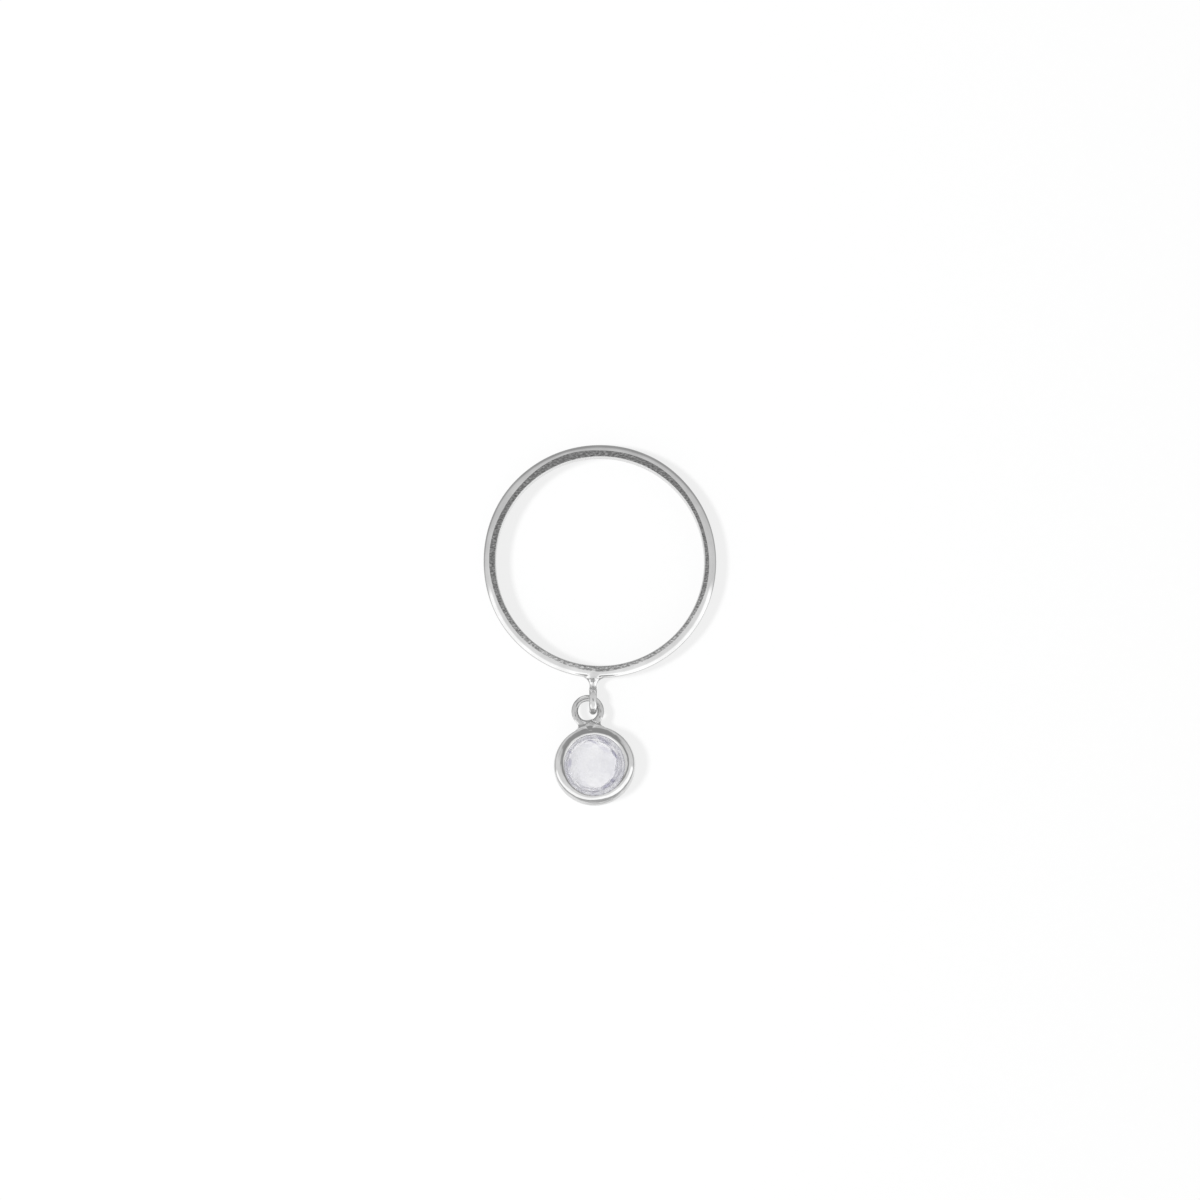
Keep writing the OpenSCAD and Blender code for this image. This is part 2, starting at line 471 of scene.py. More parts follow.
def make_piece(name: str, points: np.ndarray, faces: np.ndarray,
               zones: np.ndarray | None = None) -> Object:
    """Makes a smooth mesh object from points in millimetres.

    Args:
        name: The object's name.
        points: The points, one row each.
        faces: The points of each four-sided face.
        zones: The material slot of each face, or None where all have the first.

    Returns:
        The object, in the scene.
    """
    mesh = bpy.data.meshes.new(name)
    mesh.from_pydata((points * MM).tolist(), [], faces.tolist())
    if zones is not None:
        mesh.polygons.foreach_set("material_index", zones.astype(np.int32))
    shaped = bmesh.new()
    shaped.from_mesh(mesh)
    bmesh.ops.recalc_face_normals(shaped, faces=shaped.faces)
    shaped.to_mesh(mesh)
    shaped.free()
    mesh.shade_smooth()
    return add_piece(name, mesh)


def turn_round(outline: np.ndarray, bearings: np.ndarray) -> np.ndarray:
    """Sets an outline at each bearing round the Z axis.

    Args:
        outline: Radius and height, by bearing and by place in the outline.
        bearings: The bearings.

    Returns:
        Points by bearing, by place in the outline, by x, y and z.
    """
    angle = np.radians(bearings)[:, None]
    return np.stack([outline[..., 0] * np.sin(angle), outline[..., 0] * np.cos(angle),
                     outline[..., 1]], axis=-1)


def sweep(name: str, columns: np.ndarray, zones: np.ndarray) -> Object:
    """Makes a ring-shaped piece from closed outlines that follow each other round a turn.

    Args:
        name: The piece's name.
        columns: Points by outline, by place in the outline, by x, y and z.
        zones: The zone of the strip that starts at each place in the outline.

    Returns:
        The piece.
    """
    turns, count, _ = columns.shape
    here = np.arange(turns * count).reshape(turns, count)
    ahead, up = np.roll(here, -1, axis=0), np.roll(here, -1, axis=1)
    faces = np.stack([here, ahead, np.roll(ahead, -1, axis=1), up], axis=-1).reshape(-1, 4)
    return make_piece(name, columns.reshape(-1, 3), faces, np.tile(zones, turns))


def soft_union(a: np.ndarray, b: np.ndarray, reach: float) -> np.ndarray:
    """Joins two distances with a hollow fillet, as solder does."""
    share = np.clip(0.5 + 0.5 * (b - a) / reach, 0.0, 1.0)
    return b + (a - b) * share - reach * share * (1 - share)


def wire_ring(points: np.ndarray, middle: Place, axis: int,
              line_r: float, wire_r: float) -> np.ndarray:
    """Distance from a ring of round wire.

    Args:
        points: Points, one row each.
        middle: The ring's middle.
        axis: The number of the axis that the ring lies round.
        line_r: Radius of the wire's middle line.
        wire_r: Radius of the wire.

    Returns:
        The distance of each point from the wire's surface, negative inside it.
    """
    away = points - np.array(middle)
    flat = np.delete(away, axis, axis=1)
    return np.hypot(np.hypot(flat[:, 0], flat[:, 1]) - line_r, away[:, axis]) - wire_r


def cast_shape(name: str, field_of: Field, low: Place, high: Place) -> Object:
    """Makes a piece from a distance field, with one point in each cell that its surface crosses.

    Args:
        name: The piece's name.
        field_of: Gives the distance of points from the surface, negative inside.
        low: Lowest corner of the box that holds the shape.
        high: Highest corner.

    Returns:
        The piece, with its points drawn onto the surface.
    """
    axes = [np.arange(a, b + CELL, CELL) for a, b in zip(low, high)]
    shape = tuple(axis.size for axis in axes)
    grid = np.stack(np.meshgrid(*axes, indexing="ij"), axis=-1).reshape(-1, 3)
    value = field_of(grid).reshape(shape)
    inside = value < 0
    cells = tuple(n - 1 for n in shape)
    total, hits = np.zeros(cells + (3,)), np.zeros(cells)
    crossings = []
    for axis in range(3):
        first = [slice(None)] * 3
        second = [slice(None)] * 3
        first[axis], second[axis] = slice(None, -1), slice(1, None)
        a, b = value[tuple(first)], value[tuple(second)]
        crossed = inside[tuple(first)] != inside[tuple(second)]
        crossings.append(crossed)
        share = np.where(crossed, a / np.where(crossed, a - b, 1.0), 0.0)
        others = [i for i in range(3) if i != axis]
        for shift in ((0, 0), (0, 1), (1, 0), (1, 1)):
            part = [slice(None)] * 3
            for other, move in zip(others, shift):
                part[other] = slice(move, move + cells[other])
            cut, along = crossed[tuple(part)], share[tuple(part)]
            hits += cut
            total[..., axis] += np.where(cut, along, 0.0)
            for other, move in zip(others, shift):
                total[..., other] += np.where(cut, move, 0.0)
    used = hits > 0
    number = np.full(cells, -1)
    number[used] = np.arange(int(used.sum()))
    corner = np.stack(np.nonzero(used), axis=-1)
    points = np.array(low) + CELL * (corner + total[used] / hits[used][:, None])
    faces = []
    for axis, crossed in enumerate(crossings):
        u, v = [i for i in range(3) if i != axis]
        place = np.stack(np.nonzero(crossed), axis=-1)
        keep = (place[:, u] > 0) & (place[:, v] > 0) & (place[:, u] < cells[u]) & (place[:, v] < cells[v])
        place = place[keep]
        corners = []
        for du, dv in ((-1, -1), (0, -1), (0, 0), (-1, 0)):
            cell = place.copy()
            cell[:, u] += du
            cell[:, v] += dv
            corners.append(number[tuple(cell.T)])
        faces.append(np.stack(corners, axis=-1))
    nudge = CELL * NUDGE
    for _ in range(PULLS):
        slope = np.stack([(field_of(points + nudge * unit) - field_of(points - nudge * unit)) / (2 * nudge)
                          for unit in np.eye(3)], axis=-1)
        pull = field_of(points) / np.maximum((slope ** 2).sum(axis=1), LEAST_SLOPE ** 2)
        points = points - np.clip(pull, -CELL / 2, CELL / 2)[:, None] * slope
    return make_piece(name, points, np.concatenate(faces))


def dress(piece: Object, finishes: list[Material], node: str) -> None:
    """Gives a piece its materials, puts it under the root body and hides the node that it stands in for.

    Args:
        piece: The piece.
        finishes: Its materials, in the order of its zones.
        node: The node that it replaces.
    """
    for finish in finishes:
        piece.data.materials.append(finish)
    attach(piece, "root")
    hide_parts(node)
    size = piece.dimensions / MM
    LOG.info("%s: %d faces, %.2f x %.2f x %.2f mm", piece.name, len(piece.data.polygons), *size)


# Sub-assemblies


@dataclass
class Shank:
    """The slim closed band, with a domed outside and hand-filed sides.

    The filed sides are a little wider in one place than in another, and the dome is not quite
    round, as in any ring that was finished by hand.
    """

    hole_r: float = 8.25
    half_width: float = 1.1
    hole_break: float = 0.065
    wall_half: float = 0.5
    bulge: float = 0.03
    edge_slope: float = 18.0
    top_pull: float = 0.62
    side_pull: float = 0.35
    flat_shares: tuple[float, ...] = (0.25, 0.5, 0.75, 0.96)
    turns: int = 1080
    shoulder_steps: int = 26
    wall_steps: int = 6
    rim_steps: int = 6
    foot_from: float = 150.0
    foot_to: float = 215.0
    foot_step: float = 0.01
    edge_blur: float = 3.0
    fall_blur: float = 9.0
    side_fall: Table = ((0, 0.0), (60, 0.004), (90, 0.014), (120, 0.04), (150, 0.055), (180, 0.065),
                        (210, 0.06), (240, 0.03), (270, 0.004), (300, 0.0))
    outside: Table = ((0, 9.27), (30, 9.28), (50, 9.21), (90, 9.2), (120, 9.23), (165, 9.2),
                      (210, 9.2), (240, 9.25), (270, 9.23), (305, 9.31), (340, 9.29))
    upper_edge: Table = ((0, 8.76), (15, 8.77), (30, 8.78), (45, 8.7), (60, 8.6), (75, 8.55),
                         (90, 8.6), (105, 8.65), (120, 8.55), (150, 8.58), (168, 8.6), (180, 8.73),
                         (191, 8.62), (210, 8.57), (225, 8.64), (240, 8.64), (255, 8.69),
                         (270, 8.77), (285, 8.76), (300, 8.68), (315, 8.69), (330, 8.83), (345, 8.87))
    lower_edge: Table = ((0, 8.68), (60, 8.76), (120, 8.7), (170, 8.66), (230, 8.74), (300, 8.66))

    def dome(self, edges: Table, bearings: np.ndarray) -> np.ndarray:
        """Draws half the dome, from the filed side's edge to its middle.

        Args:
            edges: Radius of the filed side's outer edge, by bearing.
            bearings: The bearings wanted.

        Returns:
            Radius and height, by bearing and by place along the dome.
        """
        edge, outside = around(edges, bearings, self.edge_blur), around(self.outside, bearings)
        fall = around(self.side_fall, bearings, self.fall_blur)
        start = np.stack([edge, self.half_width - fall], axis=-1)
        end = np.stack([outside - self.bulge, np.full_like(edge, self.wall_half)], axis=-1)
        slope = math.radians(self.edge_slope)
        width = (outside - edge)[:, None]
        lead = start + self.top_pull * width * np.array([math.cos(slope), -math.sin(slope)])
        trail = end + self.side_pull * np.array([0.0, 1.0]) * (self.half_width - self.wall_half)
        t = np.linspace(0.0, 1.0, self.shoulder_steps)[None, :, None]
        shoulder = ((1 - t) ** 3 * start[:, None] + 3 * (1 - t) ** 2 * t * lead[:, None]
                    + 3 * (1 - t) * t ** 2 * trail[:, None] + t ** 3 * end[:, None])
        height = np.linspace(self.wall_half, 0.0, self.wall_steps + 1)[1:]
        swell = self.bulge * (1 - (height / self.wall_half) ** 2)
        wall = np.stack([end[:, :1] + swell, np.broadcast_to(height, (edge.size, height.size))], axis=-1)
        return np.concatenate([shoulder, wall], axis=1)

    def outlines(self, bearings: np.ndarray) -> tuple[np.ndarray, np.ndarray]:
        """Draws the band's outline at each bearing.

        Args:
            bearings: The bearings.

        Returns:
            Radius and height by bearing and by place in the outline, and the zone of each strip.
        """
        halves, zones = [], []
        for edges, sign in ((self.upper_edge, 1), (self.lower_edge, -1)):
            dome = self.dome(edges, bearings)
            turn = np.radians(np.linspace(0, 90, self.rim_steps))
            rim = np.stack([self.hole_r + self.hole_break * (1 - np.cos(turn)),
                            self.half_width - self.hole_break * (1 - np.sin(turn))], axis=-1)
            rim = np.broadcast_to(rim, (bearings.size,) + rim.shape)
            share = np.array(self.flat_shares)[None, :, None]
            flat = rim[:, -1:] + share * (dome[:, :1] - rim[:, -1:])
            wall = np.linspace(0.0, self.half_width - self.hole_break, self.wall_steps)[:-1]
            inside = np.broadcast_to(np.stack([np.full_like(wall, self.hole_r), wall], axis=-1),
                                     (bearings.size, wall.size, 2))
            half = np.concatenate([inside, rim, flat, dome], axis=1)
            zone = np.concatenate([np.full(inside.shape[1] + rim.shape[1] - 1, BandZone.POLISHED.value),
                                   np.full(1 + flat.shape[1], BandZone.FILED.value),
                                   np.full(dome.shape[1] - 1, BandZone.POLISHED.value)])
            half = half * np.array([1.0, sign])
            halves.append(half if sign > 0 else half[:, -2:0:-1])
            zones.append(zone if sign > 0 else zone[::-1])
        outline = np.concatenate(halves, axis=1)
        return outline, np.concatenate(zones)[:outline.shape[1]]

    def build(self) -> Object:
        """Builds the band's mesh.

        Returns:
            The band.
        """
        bearings = np.arange(self.turns) * 360.0 / self.turns
        outline, zones = self.outlines(bearings)
        return sweep("shank", turn_round(outline, bearings), zones)

    def skin(self, points: np.ndarray) -> np.ndarray:
        """Distance of points from the band's outside, near the loop's foot.

        Args:
            points: Points, one row each.

        Returns:
            The distance of each from the surface, negative inside.
        """
        bearings, step = np.arange(self.foot_from, self.foot_to), self.foot_step
        heights = np.arange(0.0, self.half_width + 2 * step, step)
        turn = np.degrees(np.arctan2(points[:, 0], points[:, 1])) % 360.0
        column = np.clip(turn - bearings[0], 0, bearings.size - 1.01)
        row = np.clip(np.abs(points[:, 2]) / step, 0, heights.size - 1.01)
        i, j = column.astype(int), row.astype(int)
        radius = np.zeros(len(points))
        for edges, above in ((self.upper_edge, True), (self.lower_edge, False)):
            drawn = np.array([np.interp(heights, line[::-1, 1], line[::-1, 0])
                              for line in self.dome(edges, bearings)])
            low = drawn[i, j] + (drawn[i, j + 1] - drawn[i, j]) * (row - j)
            high = drawn[i + 1, j] + (drawn[i + 1, j + 1] - drawn[i + 1, j]) * (row - j)
            radius = np.where((points[:, 2] >= 0) == above, low + (high - low) * (column - i), radius)
        return np.hypot(points[:, 0], points[:, 1]) - radius


@dataclass
class Loop:
    """The upright wire loop, soldered to the band by a short neck with a flared foot.

    The foot ends inside the band's metal, at `inside_r` from the hole's axis and `collar_r` from the
    neck's, and lies `hidden` under its surface.
    """

    shank: Shank
    x: float = -0.56
    y: float = -11.0
    line_r: float = 0.8
    wire_r: float = 0.3
    neck_r: float = 0.27
    neck_top_y: float = -10.1
    neck_low_y: float = -9.85
    foot_y: float = -9.2
    root_y: float = -9.05
    flare: float = 0.36
    foot_fillet: float = 0.3
    neck_fillet: float = 0.16
    lean: float = 0.05
    foot_rise: float = 0.3
    hidden: float = 0.001
    inside_r: float = 8.55
    collar_r: float = 1.06
    collar_y: float = -9.4
    box_x: float = 1.1
    box_y: tuple[float, float] = (-12.2, -8.3)
    box_z: float = 1.2

    def shape(self, points: np.ndarray) -> np.ndarray:
        """Distance of points from the loop with its neck and foot.

        Args:
            points: Points, one row each.

        Returns:
            The distance of each from the surface, negative inside.
        """
        ring = wire_ring(points, (self.x, self.y, 0.0), 0, self.line_r, self.wire_r)
        along = np.clip(points[:, 1], self.neck_top_y, self.root_y)
        share = np.clip((along - self.neck_low_y) / (self.foot_y - self.neck_low_y), 0.0, 1.0)
        across = points[:, 0] - self.x - self.lean * share
        height = points[:, 2] / (1 + self.foot_rise * share)
        neck = (np.sqrt(across ** 2 + (points[:, 1] - along) ** 2 + height ** 2)
                - self.neck_r - self.flare * share ** 2)
        body = soft_union(ring, neck, self.neck_fillet)
        whole = soft_union(body, self.shank.skin(points) + self.hidden, self.foot_fillet)
        bore = self.inside_r - np.hypot(points[:, 0], points[:, 1])
        collar = np.hypot(points[:, 0] - self.x, points[:, 2]) - self.collar_r
        return np.maximum(whole, np.maximum(bore, np.where(points[:, 1] > self.collar_y, collar, -1.0)))

    def build(self) -> Object:
        """Builds the loop's mesh."""
        return cast_shape("band_loop", self.shape, (self.x - self.box_x, self.box_y[0], -self.box_z),
                          (self.x + self.box_x, self.box_y[1], self.box_z))


@dataclass
class Lie:
    """Where the drop lies: its own frame stands on the stone's axis, with the eye towards +Y."""

    x: float = -0.44
    y: float = -16.08
    swing: float = 7.2

    def place(self, points: np.ndarray) -> np.ndarray:
        """Moves points from the drop's own frame to where it lies.

        Args:
            points: The points, one row each.

        Returns:
            The moved points.
        """
        turn = math.radians(self.swing)
        c, s = math.cos(turn), math.sin(turn)
        spin = np.array([[c, s, 0.0], [-s, c, 0.0], [0.0, 0.0, 1.0]])
        return points @ spin + np.array([self.x, self.y, FLOOR_Z])


@dataclass
class Bezel:
    """The cup that holds the stone: a tapered wall, rolled over the stone's edge, with an open back.

    The roll was pushed over by hand. It is broad and flat towards the eye, and on the far side it
    breaks early into the wall, which shows there as a thin crescent. Each row of `outline` draws
    the wall and roll at one bearing, as the radii and the heights of points that the line bends round.
    """

    lie: Lie
    outline: tuple[tuple[float, tuple[float, ...], tuple[float, ...]], ...] = (
        (0, (3.08, 3.08, 3.08, 3.07, 2.62, 2.5, 2.4), (0.12, 1.3, 2.2, 2.38, 2.4, 2.393, 2.3)),
        (45, (3.16, 3.15, 3.13, 3.06, 2.68, 2.52, 2.4), (0.12, 1.3, 2.1, 2.34, 2.4, 2.39, 2.28)),
        (90, (3.24, 3.22, 3.17, 3.07, 2.86, 2.65, 2.4), (0.12, 1.3, 2.0, 2.23, 2.37, 2.4, 2.31)),
        (135, (3.22, 3.11, 2.96, 2.83, 2.64, 2.48, 2.4), (0.12, 0.9, 1.7, 2.11, 2.3, 2.38, 2.39)),
        (180, (3.2, 3.08, 2.93, 2.72, 2.63, 2.5, 2.4), (0.12, 0.7, 1.3, 2.02, 2.25, 2.35, 2.38)),
        (225, (3.22, 3.11, 2.98, 2.87, 2.68, 2.5, 2.4), (0.12, 0.9, 1.7, 2.12, 2.32, 2.39, 2.38)),
        (270, (3.24, 3.22, 3.17, 3.05, 2.78, 2.52, 2.4), (0.12, 1.3, 2.0, 2.25, 2.35, 2.4, 2.385)),
        (315, (3.16, 3.15, 3.14, 3.1, 2.76, 2.53, 2.4), (0.12, 1.3, 2.1, 2.34, 2.4, 2.388, 2.27)),
    )
    lip_r: float = 2.4
    lip_edge: float = 0.05
    lip_low_z: float = 1.75
    lip_top_z: float = 1.633
    groove_r: float = 2.53
    seat_top_z: float = 1.277
    ledge_r: float = 2.15
    seat_low_z: float = 0.855
    back_break: float = 0.12
    back_corner: float = 0.035
    lip_mid_z: float = 1.95
    lip_bevel: float = 0.02
    lip_squash: float = 4.0
    ledge_mid_z: float = 0.5
    turns: int = 720
    bend_steps: int = 8
    foot_steps: int = 6
    lip_steps: int = 4
    blur: float = 11.0
    skin_drop: float = 0.02

    def roll(self, bearings: np.ndarray) -> np.ndarray:
        """Draws the wall's foot, the wall and its roll, up to the lip's edge.

        Args:
            bearings: Bearings in the drop's own frame.

        Returns:
            Radius and height, by bearing and by place in the outline.
        """
        count = len(self.outline[0][1])
        bends = np.stack([np.stack([around(tuple((row[0], row[part][i]) for row in self.outline),
                                           bearings, self.blur) for i in range(count)], axis=-1)
                          for part in (1, 2)], axis=-1)
        first, last = bends[:, :1], bends[:, -1:]
        corners = np.concatenate([2 * first - bends[:, 1:2], bends, 2 * last - bends[:, -2:-1]], axis=1)
        pieces = []
        for t in np.linspace(0.0, 1.0, self.bend_steps + 1)[:-1]:
            pieces.append(0.5 * (1 - t) ** 2 * corners[:, :-2] + (0.5 + t - t * t) * corners[:, 1:-1]
                          + 0.5 * t * t * corners[:, 2:])
        line = np.stack(pieces, axis=2).reshape(bearings.size, -1, 2)
        start = self.bend_steps // 2
        line = line[:, start:start + self.bend_steps * (count - 1) + 1]
        turn = np.radians(np.linspace(0, 90, self.foot_steps + 1))[:-1]
        foot = line[:, :1, 0] - self.back_break * (1 - np.sin(turn))
        foot_z = np.broadcast_to(self.back_break * (1 - np.cos(turn)), foot.shape)
        return np.concatenate([np.stack([foot, foot_z], axis=-1), line], axis=1)

    def build(self) -> Object:
        """Builds the bezel's mesh.

        Returns:
            The bezel.
        """
        bearings = np.arange(self.turns) * 360.0 / self.turns
        roll = self.roll(bearings)
        turn = np.radians(np.linspace(0, 90, self.lip_steps + 1))[1:]
        edge = np.stack(np.broadcast_arrays(self.lip_r + self.lip_edge * (np.cos(turn) - 1)
                                            / self.lip_squash,
                                            roll[:, -1:, 1] - self.lip_edge * np.sin(turn)), axis=-1)
        mouth = np.array([(self.lip_r, self.lip_mid_z), (self.lip_r, self.lip_low_z + self.lip_bevel),
                          (self.lip_r + self.lip_bevel, self.lip_low_z - self.lip_bevel),
                          (self.groove_r, self.lip_top_z), (self.groove_r, self.seat_top_z),
                          (self.ledge_r, self.seat_low_z), (self.ledge_r, self.ledge_mid_z),
                          (self.ledge_r, self.back_break),
                          (self.ledge_r + self.back_corner, self.back_corner),
                          (self.ledge_r + self.back_break, 0.0)])
        inner = np.broadcast_to(mouth, (self.turns,) + mouth.shape)
        outline = np.concatenate([roll, edge, inner], axis=1)
        # The rubbed lip goes from the roll's end to the second point of the mouth
        lip = roll.shape[1] - 1
        inside = lip + edge.shape[1] + 2
        zones = np.full(outline.shape[1], CupZone.POLISHED.value)
        zones[lip:inside] = CupZone.RUBBED.value
        zones[inside:] = CupZone.PICKLED.value
        columns = turn_round(outline, bearings)
        return sweep("bezel", self.lie.place(columns.reshape(-1, 3)).reshape(columns.shape), zones)

    def skin(self, points: np.ndarray) -> np.ndarray:
        """Distance of points from the wall's outside, near the eye.

        Args:
            points: Points, one row each, in the drop's own frame.

        Returns:
            The distance of each from the surface, negative inside.
        """
        bearing = np.degrees(np.arctan2(points[:, 0], points[:, 1]))
        outside = around(tuple((row[0], row[1][1]) for row in self.outline), bearing, self.blur)
        roll = self.roll(np.array([0.0]))[0]
        rise = roll[:np.argmax(roll[:, 1]) + 1]
        drop = np.interp(points[:, 2], rise[:, 1], rise[:, 0].max() - rise[:, 0])
        under_top = points[:, 2] - (rise[-1, 1] - self.skin_drop)
        return np.maximum(np.hypot(points[:, 0], points[:, 1]) - (outside - drop), under_top)


@dataclass
class Eye:
    """The wire eye that hangs the drop, soldered to the bezel's wall and rising towards its rim.

    The solder ends inside the wall, at `core_r` from the stone's axis and inside a collar round the
    eye's own line, and lies `hidden` under the wall's surface.
    """

    lie: Lie
    bezel: Bezel
    reach: float = 4.3
    z: float = 1.02
    rise: float = 0.27
    line_r: float = 1.025
    wire_r: float = 0.26
    fillet: float = 0.42
    solder_at: Place = (0.0, 3.0, 1.66)
    solder_half: Place = (0.74, 0.48, 0.66)
    hidden: float = 0.001
    core_r: float = 2.75
    collar_r: float = 1.2
    collar_squash: float = 1.2
    collar_y: float = 3.3
    collar_z: float = 1.4
    box_low: Place = (-1.5, 2.2, 0.1)
    box_high: Place = (1.5, 5.7, 2.5)

    def shape(self, points: np.ndarray) -> np.ndarray:
        """Distance of points from the eye with its solder.

        Args:
            points: Points, one row each, in the drop's own frame.

        Returns:
            The distance of each from the surface, negative inside.
        """
        level = points.copy()
        level[:, 2] -= self.rise * (self.reach + self.line_r - points[:, 1])
        ring = wire_ring(level, (0.0, self.reach, self.z), 2, self.line_r, self.wire_r)
        away = (points - np.array(self.solder_at)) / np.array(self.solder_half)
        solder = (np.linalg.norm(away, axis=1) - 1) * min(self.solder_half)
        whole = soft_union(soft_union(ring, solder, self.fillet),
                           self.bezel.skin(points) + self.hidden, self.fillet)
        core = self.core_r - np.hypot(points[:, 0], points[:, 1])
        collar = (np.hypot(points[:, 0], (points[:, 2] - self.collar_z) * self.collar_squash)
                  - self.collar_r)
        return np.maximum(whole, np.maximum(core, np.where(points[:, 1] < self.collar_y, collar, -1.0)))

    def build(self) -> Object:
        """Builds the eye's mesh.

        Returns:
            The eye.
        """
        piece = cast_shape("drop_eye", self.shape, self.box_low, self.box_high)
        places = np.empty(len(piece.data.vertices) * 3)
        piece.data.vertices.foreach_get("co", places)
        moved = self.lie.place(places.reshape(-1, 3) / MM) * MM
        piece.data.vertices.foreach_set("co", moved.ravel())
        piece.data.update()
        return piece


@dataclass
class Stone:
    """The round stone, cut with a flat table, four rows of crown facets and four below the girdle.

    Each row of `rows` has the number of facets, the direction of the first, and then the slope, the
    radius and the height of a facet's middle, first for the crown and then for the pavilion. The
    pavilion's lower rows and its flat end were cut a little askew: `lean` is by how much, and
    `lean_to` the direction in which they go deeper. Directions here are in degrees from +X.
    """

    lie: Lie
    girdle_z: float = 1.46
    stone_r: float = 2.5
    turn: float = -3.0
    table_z: float = 0.95
    culet_z: float = 0.98
    rough_h: float = 4.0
    sides: int = 96
    lean: float = 5.0
    lean_to: float = -25.0
    rows: tuple[tuple[float, ...], ...] = (
        (16, 0, 42, 2.5, 0.1, 43, 2.5, 0.1),
        (8, 11.25, 24, 1.98, 0.56, 10, 1.6, 0.93),
        (8, 33.75, 15, 1.55, 0.75, 5, 1.1, 0.975),
        (8, 11.25, 7, 0.95, 0.9, 2.5, 0.8, 0.978),
    )

    def planes(self) -> list[tuple[Vector, Vector]]:
        """Lists the planes of the cut.

        Returns:
            For each plane a point on it and the direction away from the stone.
        """
        across = math.radians(self.lean_to + 90)
        askew = Matrix.Rotation(math.radians(self.lean), 3, (math.cos(across), math.sin(across), 0))
        cuts = [(Vector((0, 0, self.table_z)), Vector((0, 0, 1))),
                (askew @ Vector((0, 0, -self.culet_z)), askew @ Vector((0, 0, -1)))]
        for count, first, *sizes in self.rows:
            for (slope, radius, height), up in ((sizes[:3], 1), (sizes[3:], -1)):
                tilt = math.radians(slope)
                turned = askew if up < 0 and radius < self.stone_r else Matrix.Identity(3)
                for i in range(int(count)):
                    angle = math.radians(first + i * 360 / count)
                    out = Vector((math.cos(angle), math.sin(angle), 0))
                    cuts.append((turned @ (out * radius + Vector((0, 0, up * height))),
                                 turned @ (out * math.sin(tilt) + Vector((0, 0, up * math.cos(tilt))))))
        return cuts

    def build(self) -> Object:
        """Cuts the stone's mesh, with a flat face for each facet.

        Returns:
            The stone.
        """
        shaped = bmesh.new()
        bmesh.ops.create_cone(shaped, cap_ends=True, segments=self.sides, radius1=self.stone_r,
                              radius2=self.stone_r, depth=self.rough_h)
        for point, away in self.planes():
            parts = shaped.verts[:] + shaped.edges[:] + shaped.faces[:]
            cut = bmesh.ops.bisect_plane(shaped, geom=parts, plane_co=point, plane_no=away,
                                         clear_outer=True, dist=1e-6)["geom_cut"]
            edges = [part for part in cut if isinstance(part, bmesh.types.BMEdge)]
            if edges:
                bmesh.ops.contextual_create(shaped, geom=edges)
        bmesh.ops.recalc_face_normals(shaped, faces=shaped.faces)
        spin = Matrix.Rotation(math.radians(self.turn), 4, "Z")
        for corner in shaped.verts:
            corner.co = spin @ corner.co + Vector((0, 0, self.girdle_z))
        places = self.lie.place(np.array([corner.co for corner in shaped.verts])) * MM
        for corner, place in zip(shaped.verts, places):
            corner.co = place
        mesh = bpy.data.meshes.new("faceted_stone")
        shaped.to_mesh(mesh)
        shaped.free()
        return add_piece("faceted_stone", mesh)


# Studio


@dataclass(frozen=True)
class Softbox:
    """A square lamp with a diffuser, at the left of the ring.

    It lights the floor and the matt inside of the cup. It is hidden from the camera, and from what
    the metal and the stone mirror or let through.
    """

    name: str = "side_softbox"
    place: Place = (-240.0, -8.0, 416.0)
    side: float = 75.0
    radiance: float = 190.0

    def hang(self, aim: Place) -> None:
        """Hangs the lamp, turned towards a point.

        Args:
            aim: The point that it faces.
        """
        light = bpy.data.lights.new(self.name, "AREA")
        light.shape = "SQUARE"
        light.size = self.side * MM
        light.energy = self.radiance * math.pi * light.size ** 2
        lamp = bpy.data.objects.new(self.name, light)
        lamp.location = Vector(self.place) * MM
        lamp.rotation_euler = (Vector(aim) - Vector(self.place)).to_track_quat("-Z", "Y").to_euler()
        lamp.visible_camera = False
        lamp.visible_glossy = False
        lamp.visible_transmission = False
        bpy.context.scene.collection.objects.link(lamp)


@dataclass(frozen=True)
class Patch:
    """A round part of the light tent with a radiance of its own and a soft edge.

    It may be brighter in front than behind. Its middle is given by elevation and bearing, and its
    edge by two angles from the middle.
    """

    south: float
    north: float
    elevation: float
    bearing: float
    full_within: float
    none_beyond: float

    def towards(self) -> Place:
        """Gives the direction of the middle."""
        up, turn = math.radians(self.elevation), math.radians(self.bearing)
        return math.cos(up) * math.sin(turn), math.cos(up) * math.cos(turn), math.sin(up)


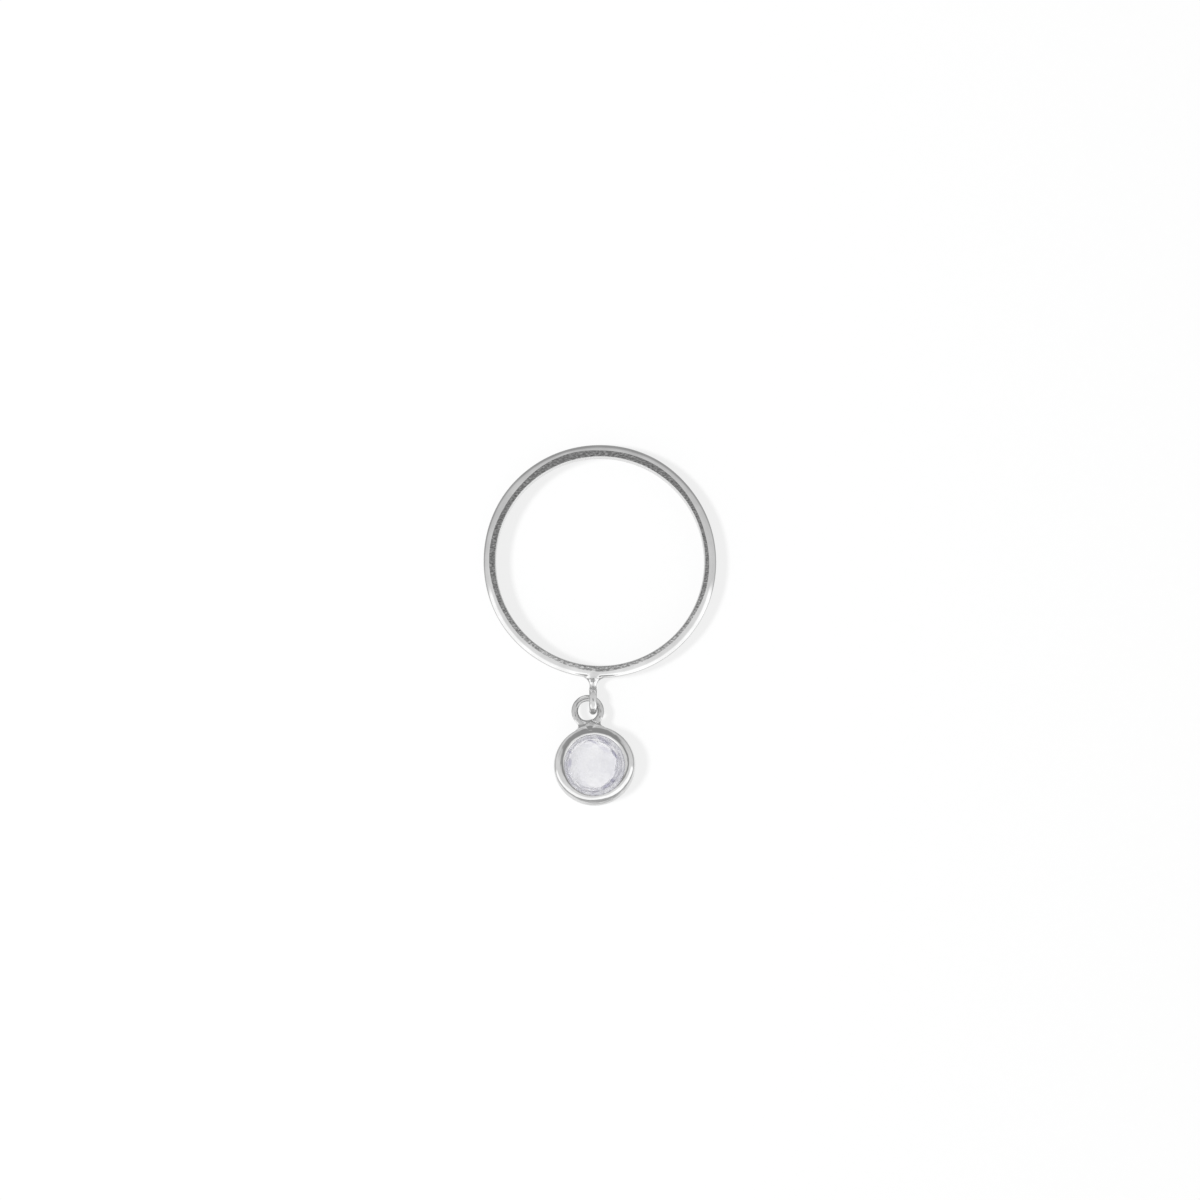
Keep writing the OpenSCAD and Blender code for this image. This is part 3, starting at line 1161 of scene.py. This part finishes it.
@dataclass
class Studio:
    """A light tent with a white floor, open above the ring, and the camera over it.

    The patches were set by comparing the metal's tones with the photograph's. The floor is hidden
    from the metal, which mirrors the patches below it instead. `scale` is the picture's, in pixels
    for each millimetre at the middle.
    """

    middle: Place = (-0.01, -3.014, 0.0)
    camera_place: Place = (-1.0, -14.0, 300.0)
    scale: float = 12.63
    picture_px: int = 1200
    sensor_mm: float = 36.0
    nearest_mm: float = 1.0
    floor_half: float = 1500.0
    wall_south: float = 1.0
    wall_north: float = 0.72
    patches: tuple[Patch, ...] = (
        Patch(0.42, 0.42, -60.0, 0.0, 44.0, 80.0),
        Patch(1.45, 1.45, 0.0, 178.5, 75.0, 82.0),
        Patch(1.08, 0.72, 90.0, 0.0, 58.0, 74.0),
        Patch(0.48, 0.43, -90.0, 0.0, 42.0, 49.0),
        Patch(0.95, 0.75, -90.0, 0.0, 22.0, 28.0),
        Patch(0.38, 0.35, 81.0, 0.0, 12.0, 28.0),
    )

    def light_tent(self) -> None:
        """Makes the tent: walls that are brighter in front than behind, with the patches on them."""
        world = bpy.data.worlds.new("light_tent")
        bpy.context.scene.world = world
        world.use_nodes = True
        tree = world.node_tree
        tree.nodes.clear()
        towards = add_node(tree, "TexCoord").outputs["Generated"]
        across = add_node(tree, "SeparateXYZ", links={"Vector": towards}).outputs["Y"]
        glow = add_node(tree, "MapRange", {"From Min": -1.0, "From Max": 1.0, "To Min": self.wall_south,
                                           "To Max": self.wall_north},
                        {"Value": across}).outputs["Result"]
        for patch in self.patches:
            near = add_node(tree, "VectorMath", {"operation": "DOT_PRODUCT", 1: patch.towards()},
                            {0: towards})
            share = add_node(tree, "MapRange", {"interpolation_type": "SMOOTHSTEP",
                                                "From Min": math.cos(math.radians(patch.none_beyond)),
                                                "From Max": math.cos(math.radians(patch.full_within))},
                             {"Value": near.outputs["Value"]})
            own = add_node(tree, "MapRange", {"From Min": -1.0, "From Max": 1.0, "To Min": patch.south,
                                              "To Max": patch.north},
                           {"Value": across}).outputs["Result"]
            glow = add_node(tree, "Mix", {"data_type": "FLOAT"},
                            {0: share.outputs["Result"], 2: glow, 3: own}).outputs[0]
        sky = add_node(tree, "Background", {"Color": linear("#ffffff")}, {"Strength": glow})
        add_node(tree, "OutputWorld", links={"Surface": sky.outputs["Background"]})

    def lay_floor(self, finish: Material) -> None:
        """Lays the sheet that the ring rests on.

        Args:
            finish: The sheet's material.
        """
        half = self.floor_half
        corners = np.array([(-half, -half, FLOOR_Z), (half, -half, FLOOR_Z),
                            (half, half, FLOOR_Z), (-half, half, FLOOR_Z)])
        floor = make_piece("floor_sheet", corners, np.array([[0, 1, 2, 3]]))
        floor.data.materials.append(finish)
        floor.visible_glossy = False

    def set_camera(self) -> None:
        """Sets the camera over the ring, with the photograph's framing."""
        camera = bpy.data.cameras.new("camera")
        distance = (Vector(self.camera_place) - Vector(self.middle)).length
        camera.sensor_width = self.sensor_mm
        camera.lens = self.sensor_mm * distance * self.scale / self.picture_px
        camera.clip_start = self.nearest_mm * MM
        rig = bpy.data.objects.new("camera", camera)
        rig.location = Vector(self.camera_place) * MM
        back = (Vector(self.camera_place) - Vector(self.middle)).normalized()
        right = Vector((0.0, 1.0, 0.0)).cross(back).normalized()
        rig.rotation_euler = Matrix((right, back.cross(right), back)).transposed().to_euler()
        bpy.context.scene.collection.objects.link(rig)
        bpy.context.scene.camera = rig
        bpy.context.scene.view_settings.view_transform = "Standard"


def main() -> None:
    """Builds and dresses the ring, piece by piece, and sets the studio."""
    logging.basicConfig(level=logging.INFO, format="%(name)s: %(message)s")
    polished, filed = PolishedSilver().build(), FiledSilver().build()
    lie = Lie()
    wrought = PolishedSilver("rhodium_plated_silver_wrought", wave_mm=0.5, wave_depth_mm=0.08).build()
    spun = PolishedSilver("rhodium_plated_silver_spun", wave_mm=0.7, wave_depth_mm=0.03,
                          spun_about=(lie.x, lie.y)).build()
    # The rubbed lip's yellow tint is a painted reflection of the stone's edge
    rubbed = PolishedSilver("silver_rubbed_down_painted_reflection", bright="#dddbcf", dull="#c9c6b8").build()
    pickled = PolishedSilver("silver_white_from_pickling", "#e6e6e6", "#dadada", roughness=0.7,
                             matt=0.7).build()
    shank = Shank()
    dress(shank.build(), [polished, filed], "band")
    dress(Loop(shank).build(), [wrought], "band")
    bezel = Bezel(lie)
    dress(bezel.build(), [spun, rubbed, pickled], "drop_setting")
    dress(Eye(lie, bezel).build(), [wrought], "drop_setting")
    dress(Stone(lie).build(), [RockCrystal().build()], "stone")
    studio = Studio()
    studio.light_tent()
    Softbox().hang(studio.middle)
    studio.lay_floor(OpalAcrylic().build())
    studio.set_camera()


if __name__ == "__main__":
    main()
